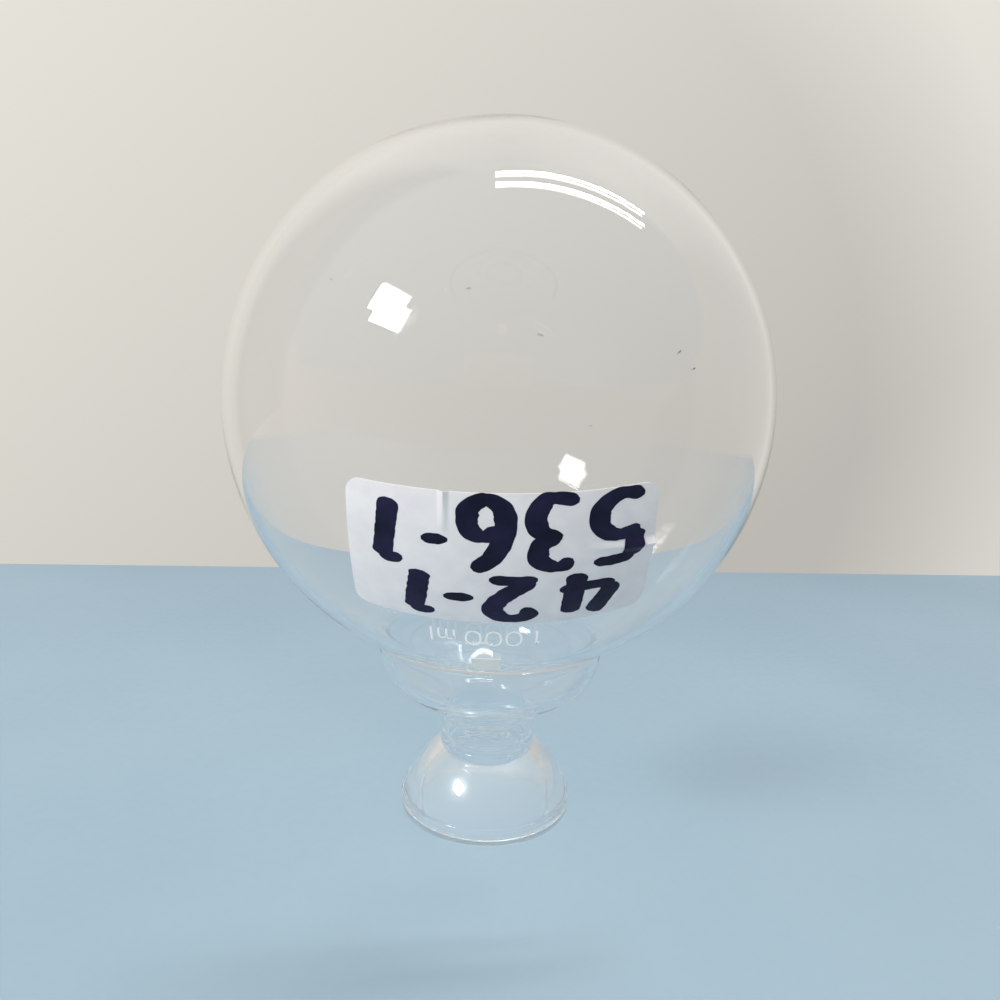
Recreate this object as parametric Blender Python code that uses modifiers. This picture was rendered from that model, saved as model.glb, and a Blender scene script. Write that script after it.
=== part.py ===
"""Round bottom flask, 1000 ml, with an S35/20 spherical ground joint, standing upside down on
its joint's rim.

Metres, +Z up. The origin is the centre of the flat rim that the flask rests on, and +Z is the
axis that every glass piece is turned about. The four glass pieces are made apart and
flame-sealed end to end: bulb, shoulder, neck, socket. A paper label and a blank enamel patch
lie on the front (-Y) of the bulb.
"""

from math import asin, atan2, cos, hypot, pi, radians, sin, sqrt, tan

import bmesh
import bpy
from mathutils import Vector

# Driving dimensions.
BULB_RADIUS = 0.0655  # a 1000 ml bulb is 131 mm across
BULB_CENTRE_Z = 0.1053
WALL = 0.002

SHOULDER_ARC_RADIUS = 0.0152  # the bowl's round side, in outline
SHOULDER_ARC_CENTRE = (0.0136, 0.0451)
SHOULDER_SLOPE = radians(35)  # the bowl's conical floor, from the horizontal
BULB_FILLET = 0.003  # where the bulb runs into the shoulder

NECK_RADIUS = 0.012
NECK_BORE = 0.010  # the 20 in S35/20
NECK_FILLET = 0.003  # where the shoulder runs into the neck

SOCKET_ARC_RADIUS = 0.0266  # the cup's outside, in outline
SOCKET_ARC_CENTRE = (-0.004, -0.003)
SOCKET_FILLET = 0.0012  # where the neck runs into the cup
BALL_RADIUS = 0.01746  # the ground seat: the 35 in S35/20 is a 34.9 mm ball
BORE_EDGE = 0.001
RIM_RADIUS = 0.0223
RIM_HEIGHT = 0.0044
RIM_TOP_ROUND = 0.0008
RIM_FOOT_ROUND = 0.0009
RIM_BLEND = 0.0008
SEAT_EDGE = 0.0008

BULB_SEAM_Z = 0.0436
SHOULDER_SEAM_Z = 0.0234
SOCKET_SEAM_Z = 0.0191
SEAM_GAP = 0.0003  # clear space between two solids that touch

LABEL_WIDTH = 0.0576
LABEL_HEIGHT = 0.0292
LABEL_CORNER = 0.003
LABEL_THICKNESS = 0.00015
LABEL_LATITUDE = radians(-24.4)
LABEL_LONGITUDE = radians(1.8)
LABEL_ROLL = radians(1.2)
LABEL_CELLS = (24, 12)

PATCH_WIDTH = 0.0062
PATCH_HEIGHT = 0.0092
PATCH_CORNER = 0.0006
PATCH_THICKNESS = 0.00012
PATCH_LATITUDE = radians(-54.9)
PATCH_LONGITUDE = radians(-0.7)
PATCH_CELLS = (6, 8)

# How finely the outlines' arcs are divided, and how many steps a full turn has.
BULB_RINGS = 20
SHOULDER_RINGS = 7
CUP_RINGS = 7
FILLET_RINGS = 3
EDGE_RINGS = 2
TURN_STEPS = 48

ON_AXIS = 1e-9  # a radius below this is the axis itself
MERGE_DISTANCE = 0.00005
SMOOTH_ANGLE = radians(35)


def clear_scene():
    for thing in list(bpy.data.objects):
        bpy.data.objects.remove(thing, do_unlink=True)


def make_collection(name):
    collection = bpy.data.collections.new(name)
    bpy.context.scene.collection.children.link(collection)
    return collection


def make_material(name, colour, roughness, transmission=0.0, ior=1.5):
    material = bpy.data.materials.new(name)
    material.use_nodes = True
    shader = material.node_tree.nodes["Principled BSDF"]
    shader.inputs["Base Color"].default_value = (*colour, 1.0)
    shader.inputs["Roughness"].default_value = roughness
    shader.inputs["Metallic"].default_value = 0.0
    shader.inputs["Transmission Weight"].default_value = transmission
    shader.inputs["IOR"].default_value = ior
    return material


def glass(name, roughness=0.0):
    return make_material(name, (0.96, 0.98, 0.97), roughness, transmission=1.0, ior=1.47)


# Outlines in the (radius, height) half plane.


def arc(centre, radius, first, last, steps):
    """Points on a circle from angle first to angle last, measured from +radius towards +Z."""
    points = []
    for i in range(steps + 1):
        angle = first + (last - first) * i / steps
        points.append((centre[0] + radius * cos(angle), centre[1] + radius * sin(angle)))
    return points


def angle_to(centre, target):
    return atan2(target[1] - centre[1], target[0] - centre[0])


def circles_meet(centre_a, radius_a, centre_b, radius_b):
    """The two points that lie on both circles."""
    across = (centre_b[0] - centre_a[0], centre_b[1] - centre_a[1])
    apart = hypot(*across)
    along = (radius_a**2 - radius_b**2 + apart**2) / (2 * apart)
    aside = sqrt(radius_a**2 - along**2)
    unit = (across[0] / apart, across[1] / apart)
    middle = (centre_a[0] + along * unit[0], centre_a[1] + along * unit[1])
    return (
        (middle[0] - aside * unit[1], middle[1] + aside * unit[0]),
        (middle[0] + aside * unit[1], middle[1] - aside * unit[0]),
    )


def angle_at_height(centre, radius, height):
    """The angle, on the circle's outer half, of its point at this height."""
    return asin((height - centre[1]) / radius)


BULB_CENTRE = (0.0, BULB_CENTRE_Z)
ORIGIN = (0.0, 0.0)

BULB_FILLET_CENTRE = max(
    circles_meet(
        BULB_CENTRE,
        BULB_RADIUS + BULB_FILLET,
        SHOULDER_ARC_CENTRE,
        SHOULDER_ARC_RADIUS + BULB_FILLET,
    )
)


def neck_fillet_centre():
    """The circle that touches the neck and, from below, the shoulder's conical floor."""
    reach = SHOULDER_ARC_RADIUS + NECK_FILLET
    radius = NECK_RADIUS + NECK_FILLET
    above = SHOULDER_ARC_CENTRE[0] + reach * sin(SHOULDER_SLOPE) - radius
    height = SHOULDER_ARC_CENTRE[1] - reach * cos(SHOULDER_SLOPE)
    return radius, height - above * tan(SHOULDER_SLOPE)


def socket_fillet_centre():
    """The circle that touches the neck and the outside of the cup."""
    reach = SOCKET_ARC_RADIUS + SOCKET_FILLET
    radius = NECK_RADIUS + SOCKET_FILLET
    height = sqrt(reach**2 - (radius - SOCKET_ARC_CENTRE[0]) ** 2)
    return radius, SOCKET_ARC_CENTRE[1] + height


NECK_FILLET_CENTRE = neck_fillet_centre()
SOCKET_FILLET_CENTRE = socket_fillet_centre()


def bulb_outline():
    """Down the outside from the pole, across the open end, and back up the inside."""
    into_fillet = angle_to(BULB_CENTRE, BULB_FILLET_CENTRE)
    fillet_start = into_fillet + pi
    fillet_end = angle_to(BULB_FILLET_CENTRE, SHOULDER_ARC_CENTRE) % (2 * pi)
    end_z = BULB_SEAM_Z + SEAM_GAP / 2
    seam_side = angle_at_height(SHOULDER_ARC_CENTRE, SHOULDER_ARC_RADIUS, end_z)
    inner_side = angle_at_height(SHOULDER_ARC_CENTRE, SHOULDER_ARC_RADIUS - WALL, end_z)
    wall_top = fillet_end - pi
    outside = arc(BULB_CENTRE, BULB_RADIUS, pi / 2, into_fillet, BULB_RINGS)
    outside += arc(
        BULB_FILLET_CENTRE, BULB_FILLET, fillet_start, fillet_end, FILLET_RINGS
    )[1:]
    outside += arc(SHOULDER_ARC_CENTRE, SHOULDER_ARC_RADIUS, wall_top, seam_side, 1)[1:]
    inside = arc(SHOULDER_ARC_CENTRE, SHOULDER_ARC_RADIUS - WALL, inner_side, wall_top, 1)
    inside += arc(
        BULB_FILLET_CENTRE, BULB_FILLET + WALL, fillet_end, fillet_start, FILLET_RINGS
    )[1:]
    inside += arc(BULB_CENTRE, BULB_RADIUS - WALL, into_fillet, pi / 2, BULB_RINGS)[1:]
    return outside + inside


def shoulder_wall(offset, top_z, bottom_z):
    """One side of the bowl, from its wide end to its narrow end. offset is how far this side
    lies inside the outer face."""
    radius = SHOULDER_ARC_RADIUS - offset
    top = angle_at_height(SHOULDER_ARC_CENTRE, radius, top_z)
    bottom = SHOULDER_SLOPE - pi / 2
    points = arc(SHOULDER_ARC_CENTRE, radius, top, bottom, SHOULDER_RINGS)
    points += arc(NECK_FILLET_CENTRE, NECK_FILLET + offset, bottom + pi, pi, FILLET_RINGS)
    points.append((NECK_RADIUS - offset, bottom_z))
    return points


def shoulder_outline():
    top_z = BULB_SEAM_Z - SEAM_GAP / 2
    bottom_z = SHOULDER_SEAM_Z + SEAM_GAP / 2
    outside = shoulder_wall(0.0, top_z, bottom_z)
    inside = shoulder_wall(WALL, top_z, bottom_z)
    return outside + inside[::-1]


def neck_outline():
    top_z = SHOULDER_SEAM_Z - SEAM_GAP / 2
    bottom_z = SOCKET_SEAM_Z + SEAM_GAP / 2
    return [
        (NECK_RADIUS, top_z),
        (NECK_RADIUS, bottom_z),
        (NECK_BORE, bottom_z),
        (NECK_BORE, top_z),
    ]


def socket_outside(top_z):
    """From the seam down the outside of the cup, over the rim's rounded lip, to the foot."""
    lip = (RIM_RADIUS - RIM_TOP_ROUND, RIM_HEIGHT - RIM_TOP_ROUND)
    foot = (RIM_RADIUS - RIM_FOOT_ROUND, RIM_FOOT_ROUND)
    blend = max(
        circles_meet(
            SOCKET_ARC_CENTRE,
            SOCKET_ARC_RADIUS + RIM_BLEND,
            lip,
            RIM_TOP_ROUND + RIM_BLEND,
        ),
        key=lambda point: point[1],
    )
    cup_top = angle_to(SOCKET_ARC_CENTRE, SOCKET_FILLET_CENTRE)
    cup_end = angle_to(SOCKET_ARC_CENTRE, blend)
    lip_start = angle_to(lip, blend)
    points = [(NECK_RADIUS, top_z)]
    points += arc(SOCKET_FILLET_CENTRE, SOCKET_FILLET, pi, cup_top + pi, FILLET_RINGS)
    points += arc(SOCKET_ARC_CENTRE, SOCKET_ARC_RADIUS, cup_top, cup_end, CUP_RINGS)[1:]
    points += arc(blend, RIM_BLEND, cup_end + pi, lip_start + pi, EDGE_RINGS)[1:]
    points += arc(lip, RIM_TOP_ROUND, lip_start, 0.0, FILLET_RINGS)[1:]
    points += arc(foot, RIM_FOOT_ROUND, 0.0, -pi / 2, FILLET_RINGS)
    return points


def socket_inside(top_z):
    """From the foot over the seat's edge, up the ground seat and into the bore."""
    edge = (sqrt((BALL_RADIUS + SEAT_EDGE) ** 2 - SEAT_EDGE**2), SEAT_EDGE)
    mouth = (
        NECK_BORE + BORE_EDGE,
        sqrt((BALL_RADIUS + BORE_EDGE) ** 2 - (NECK_BORE + BORE_EDGE) ** 2),
    )
    seat_low = angle_to(ORIGIN, edge)
    seat_high = angle_to(ORIGIN, mouth)
    points = arc(edge, SEAT_EDGE, -pi / 2, -pi + seat_low, EDGE_RINGS)
    points += arc(ORIGIN, BALL_RADIUS, seat_low, seat_high, CUP_RINGS)[1:]
    points += arc(mouth, BORE_EDGE, seat_high + pi, pi, EDGE_RINGS)[1:]
    points.append((NECK_BORE, top_z))
    return points


def socket_outline():
    top_z = SOCKET_SEAM_Z - SEAM_GAP / 2
    return socket_outside(top_z) + socket_inside(top_z)


def turn(name, outline, material, collection, closed=True):
    """A solid of revolution about Z. closed joins the outline's last point to its first; an
    outline that starts and ends on the axis stays open."""
    mesh = bpy.data.meshes.new(name)
    points = [(0.0 if radius < ON_AXIS else radius, 0.0, z) for radius, z in outline]
    edges = [(i, i + 1) for i in range(len(points) - 1)]
    if closed:
        edges.append((len(points) - 1, 0))
    mesh.from_pydata(points, edges, [])
    piece = bpy.data.objects.new(name, mesh)
    collection.objects.link(piece)
    mesh.materials.append(material)
    screw = piece.modifiers.new("turn", "SCREW")
    screw.axis = "Z"
    screw.angle = 2 * pi
    screw.steps = TURN_STEPS
    screw.render_steps = TURN_STEPS
    screw.use_merge_vertices = True
    screw.merge_threshold = MERGE_DISTANCE
    screw.use_smooth_shade = True
    return piece


# Thin pieces that lie on the front of the bulb.


def bulb_frame(latitude, longitude, roll):
    """Unit vectors out of the bulb, to the right and up, at a place on its surface. Latitude 0
    is the widest circle, and longitude 0 faces -Y."""
    out = Vector(
        (cos(latitude) * sin(longitude), -cos(latitude) * cos(longitude), sin(latitude))
    )
    right = Vector((cos(longitude), sin(longitude), 0.0))
    up = out.cross(right)
    return out, right * cos(roll) + up * sin(roll), up * cos(roll) - right * sin(roll)


def wrapped(x, y, lift, frame):
    """Where a point of a flat sheet comes to lie when the sheet is wrapped onto the bulb."""
    out, right, up = frame
    reach = hypot(x, y)
    centre = Vector((0.0, 0.0, BULB_CENTRE_Z))
    if reach < ON_AXIS:
        return centre + out * (BULB_RADIUS + lift)
    turned = reach / BULB_RADIUS
    along = (right * x + up * y) / reach
    return centre + (out * cos(turned) + along * sin(turned)) * (BULB_RADIUS + lift)


def rounded_corner(x, y, half_width, half_height, corner):
    """Moves a point of a rectangle so that the rectangle's corners become round."""
    past_x = (abs(x) - (half_width - corner)) / corner
    past_y = (abs(y) - (half_height - corner)) / corner
    if past_x <= 0.0 or past_y <= 0.0:
        return x, y
    pull = max(past_x, past_y) / hypot(past_x, past_y)
    new_x = half_width - corner + corner * past_x * pull
    new_y = half_height - corner + corner * past_y * pull
    return new_x * (1 if x > 0 else -1), new_y * (1 if y > 0 else -1)


def sheet_on_bulb(name, size, corner, thickness, frame, cells, material, collection):
    """A thin sheet with round corners, wrapped onto the bulb and clear of it by SEAM_GAP."""
    half_width = size[0] / 2
    half_height = size[1] / 2
    sheet = bmesh.new()
    bmesh.ops.create_grid(sheet, x_segments=cells[0], y_segments=cells[1], size=1.0)
    for vertex in sheet.verts:
        x, y = rounded_corner(
            vertex.co.x * half_width, vertex.co.y * half_height, half_width, half_height, corner
        )
        vertex.co = wrapped(x, y, SEAM_GAP, frame)
    mesh = bpy.data.meshes.new(name)
    sheet.to_mesh(mesh)
    sheet.free()
    mesh.materials.append(material)
    piece = bpy.data.objects.new(name, mesh)
    collection.objects.link(piece)
    solidify = piece.modifiers.new("thickness", "SOLIDIFY")
    solidify.thickness = thickness
    solidify.offset = 1.0
    mesh.shade_smooth()
    return piece


def make_bulb(collection):
    return turn("bulb", bulb_outline(), glass("bulb_glass"), collection, closed=False)


def make_shoulder(collection):
    return turn("shoulder", shoulder_outline(), glass("shoulder_glass"), collection)


def make_neck(collection):
    return turn("neck", neck_outline(), glass("neck_glass"), collection)


def make_socket(collection):
    return turn("socket", socket_outline(), glass("ground_glass", 0.15), collection)


def make_label(collection):
    frame = bulb_frame(LABEL_LATITUDE, LABEL_LONGITUDE, LABEL_ROLL)
    paper = make_material("label_paper", (0.80, 0.79, 0.84), 0.7)
    size = (LABEL_WIDTH, LABEL_HEIGHT)
    return sheet_on_bulb(
        "label", size, LABEL_CORNER, LABEL_THICKNESS, frame, LABEL_CELLS, paper, collection
    )


def make_marking_patch(collection):
    frame = bulb_frame(PATCH_LATITUDE, PATCH_LONGITUDE, 0.0)
    enamel = make_material("patch_enamel", (0.82, 0.79, 0.70), 0.45)
    size = (PATCH_WIDTH, PATCH_HEIGHT)
    return sheet_on_bulb(
        "marking_patch", size, PATCH_CORNER, PATCH_THICKNESS, frame, PATCH_CELLS, enamel, collection
    )


def sharpen_edges(pieces):
    """Smooth shading all over, but for edges sharper than SMOOTH_ANGLE."""
    for piece in pieces:
        piece.data.set_sharp_from_angle(angle=SMOOTH_ANGLE)


def main():
    clear_scene()
    flask = make_collection("round_bottom_flask")
    pieces = [
        make_bulb(flask),
        make_shoulder(flask),
        make_neck(flask),
        make_socket(flask),
        make_label(flask),
        make_marking_patch(flask),
    ]
    sharpen_edges(pieces)


main()
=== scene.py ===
"""The looks of a 1000 ml round bottom flask with a spherical ground joint, standing upside down.

Metres, +Z up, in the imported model's own frame: the flask's axis is Z, its rim rests on z = 0, and
its label faces -Y. The glass is one wall that runs from the bulb's pole to the rim's foot and
back up inside. It is cut at the three flame seals into four pieces, whose cut faces are clear, so
that light crosses a seal as it does in one piece of glass.
"""

from math import asin, atan2, ceil, cos, exp, hypot, pi, radians, sin, sqrt, tan

import bmesh
import bpy
from mathutils import Matrix, Quaternion, Vector, noise


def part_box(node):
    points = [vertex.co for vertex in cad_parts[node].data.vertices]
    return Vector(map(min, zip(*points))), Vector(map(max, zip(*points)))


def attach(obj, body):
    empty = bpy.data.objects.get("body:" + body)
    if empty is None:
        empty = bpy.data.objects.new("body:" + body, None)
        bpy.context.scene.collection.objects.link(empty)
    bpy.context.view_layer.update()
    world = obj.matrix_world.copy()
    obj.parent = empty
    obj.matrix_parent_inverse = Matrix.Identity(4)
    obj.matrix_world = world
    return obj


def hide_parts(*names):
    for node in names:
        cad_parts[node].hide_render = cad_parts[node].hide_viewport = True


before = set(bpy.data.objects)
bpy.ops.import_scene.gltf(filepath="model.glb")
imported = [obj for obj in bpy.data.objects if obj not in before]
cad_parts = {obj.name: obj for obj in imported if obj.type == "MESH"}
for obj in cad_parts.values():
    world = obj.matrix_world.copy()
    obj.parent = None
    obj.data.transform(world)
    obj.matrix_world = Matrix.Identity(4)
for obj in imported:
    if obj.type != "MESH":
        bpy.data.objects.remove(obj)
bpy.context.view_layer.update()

MM = 0.001
ON_AXIS = 1e-9  # a radius below this is the axis itself

# The flask's main sizes, from the frame.
BULB_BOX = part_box("bulb")
SHOULDER_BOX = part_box("shoulder")
NECK_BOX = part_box("neck")
SOCKET_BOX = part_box("socket")
BULB_RADIUS = (BULB_BOX[1].x - BULB_BOX[0].x) / 2
BULB_CENTRE_Z = BULB_BOX[1].z - BULB_RADIUS
BULB_CENTRE = (0.0, BULB_CENTRE_Z)
BULB_MIDDLE = Vector((0.0, 0.0, BULB_CENTRE_Z))
NECK_RADIUS = NECK_BOX[1].x
RIM_RADIUS = SOCKET_BOX[1].x
BULB_SEAM_Z = (BULB_BOX[0].z + SHOULDER_BOX[1].z) / 2
SHOULDER_SEAM_Z = (SHOULDER_BOX[0].z + NECK_BOX[1].z) / 2
SOCKET_SEAM_Z = (NECK_BOX[0].z + SOCKET_BOX[1].z) / 2

# The outline's other sizes.
WALL = 2.0 * MM
NECK_BORE = NECK_RADIUS - WALL
SHOULDER_ARC_RADIUS = 15.2 * MM
SHOULDER_ARC_CENTRE = (13.6 * MM, 45.1 * MM)
SHOULDER_SLOPE = radians(35)
BULB_FILLET = 3.0 * MM
NECK_FILLET = 3.0 * MM
SOCKET_ARC_RADIUS = 26.6 * MM
SOCKET_ARC_CENTRE = (-4.0 * MM, -3.0 * MM)
SOCKET_FILLET = 1.2 * MM
BALL_RADIUS = 17.46 * MM
BORE_EDGE = 0.6 * MM
RIM_HEIGHT = 4.4 * MM
RIM_TOP_ROUND = 0.3 * MM
RIM_FOOT_ROUND = 0.9 * MM
RIM_BLEND = 0.25 * MM
SEAT_EDGE = 0.8 * MM
ORIGIN = (0.0, 0.0)

TURN_STEPS = 128
BULB_SPACING = 1.8 * MM  # between rings on the bulb
BOWL_SPACING = 0.6 * MM  # on the shoulder, neck and cup
EDGE_SPACING = 0.2 * MM  # on small rounds
FINEST_TURN = radians(4)  # the most that one facet turns from the next
SHARP_ANGLE = radians(40)

# A flame seal swells a little outside and inside.
SEALS = (SHOULDER_SEAM_Z, SOCKET_SEAM_Z)
SEAL_SWELL = 0.12 * MM
SEAL_SWELL_INSIDE = 0.10 * MM
SEAL_WIDTH = 0.9 * MM

# A blown bulb is thinner than its neck, never quite round, and its wall never quite even.
THINNING = 0.4 * MM
THIN_Z = 150.0 * MM
WAVE_OUTSIDE = 0.03 * MM
WAVE_INSIDE = 0.07 * MM
WAVE_LENGTH = 32.0 * MM
WAVE_START_Z = 52.0 * MM
WAVE_FULL_Z = 70.0 * MM
INSIDE_SHIFT = (7.3, 1.9, 4.1)  # so that the inside's waves differ from the outside's

BUBBLE_WIDTH = 0.30 * MM
BUBBLE_DEPTH = 0.75 * MM  # below the outer face
# Each bubble's latitude, longitude and tilt in degrees, and its length in millimetres.
BUBBLE_LIST = (
    (10.4, 29.5, 35.0, 1.3),
    (8.0, 32.5, 20.0, 1.0),
    (11.8, 6.1, -15.0, 1.1),
    (18.4, -5.0, 10.0, 0.8),
    (31.0, -118.0, 25.0, 1.1),
    (-6.0, 152.0, 0.0, 1.3),
)
BUBBLES = [
    (radians(latitude), radians(longitude), radians(tilt), length * MM)
    for latitude, longitude, tilt, length in BUBBLE_LIST
]

LABEL_SIZE = (57.6 * MM, 29.2 * MM)
LABEL_CORNER = 3.0 * MM
LABEL_THICKNESS = 0.12 * MM
LABEL_LIFT = 0.03 * MM
LABEL_PLACE = (radians(-24.4), radians(1.8), radians(1.2))  # latitude, longitude, roll
LABEL_CELLS = (190, 96)

# A pinched fold runs up to the label's top edge, with a soft pucker to its right.
FOLD_X = -10.4 * MM
FOLD_FOOT_Y = 5.5 * MM
FOLD_LIFT = 0.80 * MM
FOLD_WIDTH = 1.0 * MM
FOLD_PUCKER_X = -7.0 * MM
FOLD_PUCKER_LIFT = 0.14 * MM
FOLD_PUCKER_WIDTH = 4.5 * MM

# A sharp crease runs to the label's right edge, with a soft pucker under it.
CREASE_START_X = 15.0 * MM
CREASE_PLACE = (23.0 * MM, 2.5 * MM)
CREASE_FALL = 0.08
CREASE_LIFT = 0.95 * MM
CREASE_WIDTH = 1.3 * MM
CREASE_PUCKER_DROP = 2.0 * MM
CREASE_PUCKER_LIFT = 0.18 * MM
CREASE_PUCKER_WIDTH = 4.0 * MM

# Small upright puckers lie along the lower edge, and slow swells all over.
RIPPLE_PLACE = (14.0 * MM, -12.0 * MM)
RIPPLE_REACH = (15.0 * MM, 9.0 * MM)
RIPPLE_LIFT = 0.15 * MM
RIPPLE_LENGTH = 1.7 * MM
RIPPLE_START = 0.6
SWELL_LENGTH = 7.0 * MM
SWELL_LIFT = 0.06 * MM

PATCH_SIZE = (6.2 * MM, 9.2 * MM)
PATCH_CORNER = 0.7 * MM
PATCH_THICKNESS = 0.06 * MM
PATCH_LIFT = 0.005 * MM
PATCH_PLACE = (radians(-54.9), radians(-0.7), 0.0)
PATCH_CELLS = (30, 40)

INK_THICKNESS = 0.03 * MM
INK_LAYER = 0.006 * MM  # each stroke lies this much over the one before
INK_STEP = 0.3 * MM
INK_RAGGED = 0.12  # how much a stroke's width wavers
INK_SHINE = 0.18
INK_BRIDGE = (-0.25 * MM, 0.0, 0.25 * MM)  # ink bridges the paper's folds over this reach

PRINT_PLACE = (radians(-42.5), radians(-1.0), radians(180.0))
PRINT_THICKNESS = 0.02 * MM
PRINT_LIFT = 0.004 * MM
PRINT_HEIGHT = 5.4 * MM
PRINT_PEN = 0.42 * MM
PRINT_STEP = 0.15 * MM
PRINT_RAGGED = 0.08

STROKE_ACROSS = 10  # cells across a pen stroke
STROKE_EDGE = 0.4  # how thick a stroke is at its edge, as a share of its middle
END_LEAST = 0.12  # the square of the least share of its width that an end keeps
END_ROUND = 0.45  # how far a stroke's end is rounded, in half widths
END_TAPER = 1.8 * MM  # how much further a level stroke's end tapers
WOBBLE_LENGTH = 1.1 * MM
WOBBLE_LAYER = 3.0  # where in the noise a stroke's wavering is read


# Outlines in the (radius, height) half plane.


def arc(centre, radius, first, last, spacing):
    """Points on a circle from angle first to angle last, measured from +radius towards +Z."""
    turn = abs(last - first)
    steps = max(3, ceil(turn / FINEST_TURN), ceil(turn * radius / spacing))
    points = []
    for i in range(steps + 1):
        angle = first + (last - first) * i / steps
        points.append((centre[0] + radius * cos(angle), centre[1] + radius * sin(angle)))
    return points


def line(start, end, spacing):
    """Points from just past the start to the end."""
    steps = max(1, ceil(hypot(end[0] - start[0], end[1] - start[1]) / spacing))
    return [
        (start[0] + (end[0] - start[0]) * i / steps, start[1] + (end[1] - start[1]) * i / steps)
        for i in range(1, steps + 1)
    ]


def angle_to(centre, target):
    return atan2(target[1] - centre[1], target[0] - centre[0])


def circles_meet(centre_a, radius_a, centre_b, radius_b):
    """The two points that lie on both circles."""
    across = (centre_b[0] - centre_a[0], centre_b[1] - centre_a[1])
    apart = hypot(*across)
    along = (radius_a**2 - radius_b**2 + apart**2) / (2 * apart)
    aside = sqrt(radius_a**2 - along**2)
    unit = (across[0] / apart, across[1] / apart)
    middle = (centre_a[0] + along * unit[0], centre_a[1] + along * unit[1])
    return (
        (middle[0] - aside * unit[1], middle[1] + aside * unit[0]),
        (middle[0] + aside * unit[1], middle[1] - aside * unit[0]),
    )


BULB_FILLET_CENTRE = max(
    circles_meet(
        BULB_CENTRE,
        BULB_RADIUS + BULB_FILLET,
        SHOULDER_ARC_CENTRE,
        SHOULDER_ARC_RADIUS + BULB_FILLET,
    )
)


def neck_fillet_centre():
    """The circle that touches the neck and, from below, the shoulder's conical floor."""
    reach = SHOULDER_ARC_RADIUS + NECK_FILLET
    radius = NECK_RADIUS + NECK_FILLET
    above = SHOULDER_ARC_CENTRE[0] + reach * sin(SHOULDER_SLOPE) - radius
    height = SHOULDER_ARC_CENTRE[1] - reach * cos(SHOULDER_SLOPE)
    return radius, height - above * tan(SHOULDER_SLOPE)


def socket_fillet_centre():
    """The circle that touches the neck and the outside of the cup."""
    reach = SOCKET_ARC_RADIUS + SOCKET_FILLET
    radius = NECK_RADIUS + SOCKET_FILLET
    height = sqrt(reach**2 - (radius - SOCKET_ARC_CENTRE[0]) ** 2)
    return radius, SOCKET_ARC_CENTRE[1] + height


NECK_FILLET_CENTRE = neck_fillet_centre()
SOCKET_FILLET_CENTRE = socket_fillet_centre()


def upper_wall(offset):
    """The bulb, the shoulder and the top of the neck, from the pole down. offset is how far
    this side of the wall lies inside the outer face."""
    into_fillet = angle_to(BULB_CENTRE, BULB_FILLET_CENTRE)
    fillet_end = angle_to(BULB_FILLET_CENTRE, SHOULDER_ARC_CENTRE) % (2 * pi)
    bulb = BULB_RADIUS - offset
    shoulder = SHOULDER_ARC_RADIUS - offset
    slope = SHOULDER_SLOPE - pi / 2
    points = arc(BULB_CENTRE, bulb, pi / 2, into_fillet, BULB_SPACING)
    points += arc(
        BULB_FILLET_CENTRE, BULB_FILLET + offset, into_fillet + pi, fillet_end, BOWL_SPACING
    )[1:]
    points += arc(SHOULDER_ARC_CENTRE, shoulder, fillet_end - pi, slope, BOWL_SPACING)[1:]
    neck = arc(NECK_FILLET_CENTRE, NECK_FILLET + offset, slope + pi, pi, BOWL_SPACING)
    points += line(points[-1], neck[0], BOWL_SPACING)
    points += neck[1:]
    return points


def outer_wall():
    """The outside, from the pole to the foot of the rim."""
    points = upper_wall(0.0)
    lip = (RIM_RADIUS - RIM_TOP_ROUND, RIM_HEIGHT - RIM_TOP_ROUND)
    foot = (RIM_RADIUS - RIM_FOOT_ROUND, RIM_FOOT_ROUND)
    blend = max(
        circles_meet(
            SOCKET_ARC_CENTRE,
            SOCKET_ARC_RADIUS + RIM_BLEND,
            lip,
            RIM_TOP_ROUND + RIM_BLEND,
        ),
        key=lambda point: point[1],
    )
    cup_top = angle_to(SOCKET_ARC_CENTRE, SOCKET_FILLET_CENTRE)
    cup_end = angle_to(SOCKET_ARC_CENTRE, blend)
    lip_start = angle_to(lip, blend)
    fillet = arc(SOCKET_FILLET_CENTRE, SOCKET_FILLET, pi, cup_top + pi, EDGE_SPACING)
    points += line(points[-1], fillet[0], EDGE_SPACING)
    points += fillet[1:]
    points += arc(SOCKET_ARC_CENTRE, SOCKET_ARC_RADIUS, cup_top, cup_end, BOWL_SPACING)[1:]
    points += arc(blend, RIM_BLEND, cup_end + pi, lip_start + pi, EDGE_SPACING)[1:]
    points += arc(lip, RIM_TOP_ROUND, lip_start, 0.0, EDGE_SPACING)[1:]
    points += arc(foot, RIM_FOOT_ROUND, 0.0, -pi / 2, EDGE_SPACING)
    return points


def inner_wall():
    """The inside, from the foot of the rim over the ground seat and up to the pole. Also the
    heights between which the seat is ground."""
    edge = (sqrt((BALL_RADIUS + SEAT_EDGE) ** 2 - SEAT_EDGE**2), SEAT_EDGE)
    mouth = (
        NECK_BORE + BORE_EDGE,
        sqrt((BALL_RADIUS + BORE_EDGE) ** 2 - (NECK_BORE + BORE_EDGE) ** 2),
    )
    seat_low = angle_to(ORIGIN, edge)
    seat_high = angle_to(ORIGIN, mouth)
    seat = arc(ORIGIN, BALL_RADIUS, seat_low, seat_high, BOWL_SPACING)
    bore = arc(mouth, BORE_EDGE, seat_high + pi, pi, EDGE_SPACING)[1:]
    above = upper_wall(WALL)[::-1]
    points = arc(edge, SEAT_EDGE, -pi / 2, -pi + seat_low, EDGE_SPACING)
    points += seat[1:]
    points += bore
    points += line(bore[-1], above[0], EDGE_SPACING)
    points += above[1:]
    return points, (seat[0][1], seat[-1][1])


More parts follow.
